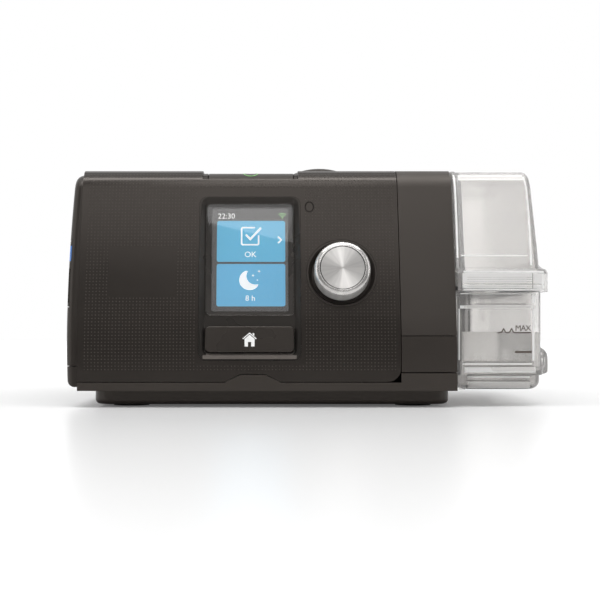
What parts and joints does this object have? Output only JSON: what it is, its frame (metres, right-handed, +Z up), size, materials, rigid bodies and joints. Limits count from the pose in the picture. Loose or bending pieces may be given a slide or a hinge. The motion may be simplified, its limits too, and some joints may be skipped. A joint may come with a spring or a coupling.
{
  "type": "cpap machine",
  "caption": "Bedside breathing machine with a tilted front screen, push dial and long top button, and a clear hinged-lid water tub that slides out of its side.",
  "frame": {"origin": "on the standing surface, under the middle of the whole machine's box", "axes": "+X to the viewer's right, towards the water tub; -Y out of the front; +Z up"},
  "size_m": [0.2036, 0.1562, 0.1112],
  "materials": {
    "casing": "fine texture, satin",
    "front": "satin with a raised dot grid",
    "fascia": "satin",
    "bezel": "satin",
    "screen": "polished",
    "display": "lit screen",
    "metal_dial": "radially brushed",
    "feet": "matte",
    "clear_tub": "clear, lightly frosted",
    "steel": "brushed",
    "board": "solder mask",
    "inner_plastic": "moulded",
    "motor": "plain",
    "foam": "open foam",
    "blue": "satin"
  },
  "bodies": {
    "machine": {"base_casing": "casing", "rubber_feet": "feet", "case_screws": "steel", "top_casing": "casing", "left_side_cover": "casing", "left_lower_cover": "casing", "front_panel": "front", "humidifier_fascia": "fascia", "label_panel": "fascia", "screen_bezel": "bezel", "screen_glass": "screen", "lcd_module": "display", "display_board": "board", "home_switch": "inner_plastic", "dial_well": "front", "dial_encoder": "inner_plastic", "start_switch": "inner_plastic", "light_sensor_lens": "screen", "bay_liner": "inner_plastic", "bay_air_seals": "feet", "heater_insulator": "inner_plastic", "heater_element": "motor", "heater_plate": "steel", "outlet_hood": "casing", "blower_housing_lower": "inner_plastic", "blower_housing_upper": "inner_plastic", "blower_motor": "motor", "blower_mounts": "feet", "inlet_muffler": "inner_plastic", "muffler_foam": "foam", "blower_seal": "feet", "air_filter": "foam", "flow_sensor": "board", "main_board": "board", "power_inlet": "inner_plastic", "accessory_port": "inner_plastic", "card_slot": "inner_plastic", "radio_board": "board", "antenna": "steel"},
    "dial_stem": {"dial_carrier": "inner_plastic"},
    "dial": {"dial_knob": "metal_dial"},
    "home_key": {"home_button": "bezel"},
    "start_key": {"start_button": "bezel"},
    "water_tub": {"tub_base": "clear_tub", "tub_deck": "clear_tub", "tub_heat_plate": "steel", "lid_hinge_pin": "steel"},
    "tub_cover": {"tub_lid": "clear_tub", "lid_seal": "feet"},
    "card_flap": {"card_door": "casing", "card_tab": "blue"},
    "data_card": {"memory_card": "inner_plastic"},
    "filter_flap": {"filter_cover": "casing"},
    "accessory_flap": {"accessory_cover": "casing"},
    "power_latch": {"power_clip": "casing"},
    "outlet_tube": {"outlet_port": "inner_plastic"},
    "impeller": {"blower_impeller": "inner_plastic"}
  },
  "joints": [
    {"name": "dial_press", "type": "slide", "parent": "machine", "child": "dial_stem", "axis": [0, 0.9677, -0.2521], "range_m": [0, 0.0012], "stiffness_N_per_m": 1200},
    {"name": "dial_turn", "type": "hinge", "parent": "dial_stem", "child": "dial", "pos_m": [0.0121, -0.06811, 0.0551], "axis": [0, -0.9677, 0.2521], "continuous": true},
    {"name": "home_press", "type": "slide", "parent": "machine", "child": "home_key", "axis": [0, 0.9683, -0.25], "range_m": [0, 0.0008], "stiffness_N_per_m": 900},
    {"name": "start_press", "type": "slide", "parent": "machine", "child": "start_key", "axis": [0, 0, -1], "range_m": [0, 0.001], "stiffness_N_per_m": 900},
    {"name": "tub_slide", "type": "slide", "parent": "machine", "child": "water_tub", "axis": [1, 0, 0], "range_m": [0, 0.1]},
    {"name": "lid_swing", "type": "hinge", "parent": "water_tub", "child": "tub_cover", "pos_m": [0.079, 0.0675, 0.05], "axis": [-1, 0, 0], "range_deg": [0, 105]},
    {"name": "card_door_swing", "type": "hinge", "parent": "machine", "child": "card_flap", "pos_m": [-0.1004, -0.0342, 0.055], "axis": [0, 0, -1], "range_deg": [0, 95]},
    {"name": "card_push", "type": "slide", "parent": "machine", "child": "data_card", "axis": [1, 0, 0], "range_m": [0, 0.001], "stiffness_N_per_m": 500},
    {"name": "filter_cover_swing", "type": "hinge", "parent": "machine", "child": "filter_flap", "pos_m": [-0.0869, 0.0709, 0.057], "axis": [0, 0, 1], "range_deg": [0, 95]},
    {"name": "accessory_cover_swing", "type": "hinge", "parent": "machine", "child": "accessory_flap", "pos_m": [-0.0189, 0.0709, 0.033], "axis": [0, 0, 1], "range_deg": [0, 95]},
    {"name": "power_clip_swing", "type": "hinge", "parent": "machine", "child": "power_latch", "pos_m": [-0.034, 0.0709, 0.0346], "axis": [1, 0, 0], "range_deg": [0, 90]},
    {"name": "outlet_pull", "type": "slide", "parent": "machine", "child": "outlet_tube", "axis": [0, 1, 0], "range_m": [0, 0.02]},
    {"name": "impeller_spin", "type": "hinge", "parent": "machine", "child": "impeller", "pos_m": [-0.05, 0.008, 0.036], "axis": [0, 0, 1], "continuous": true}
  ]
}
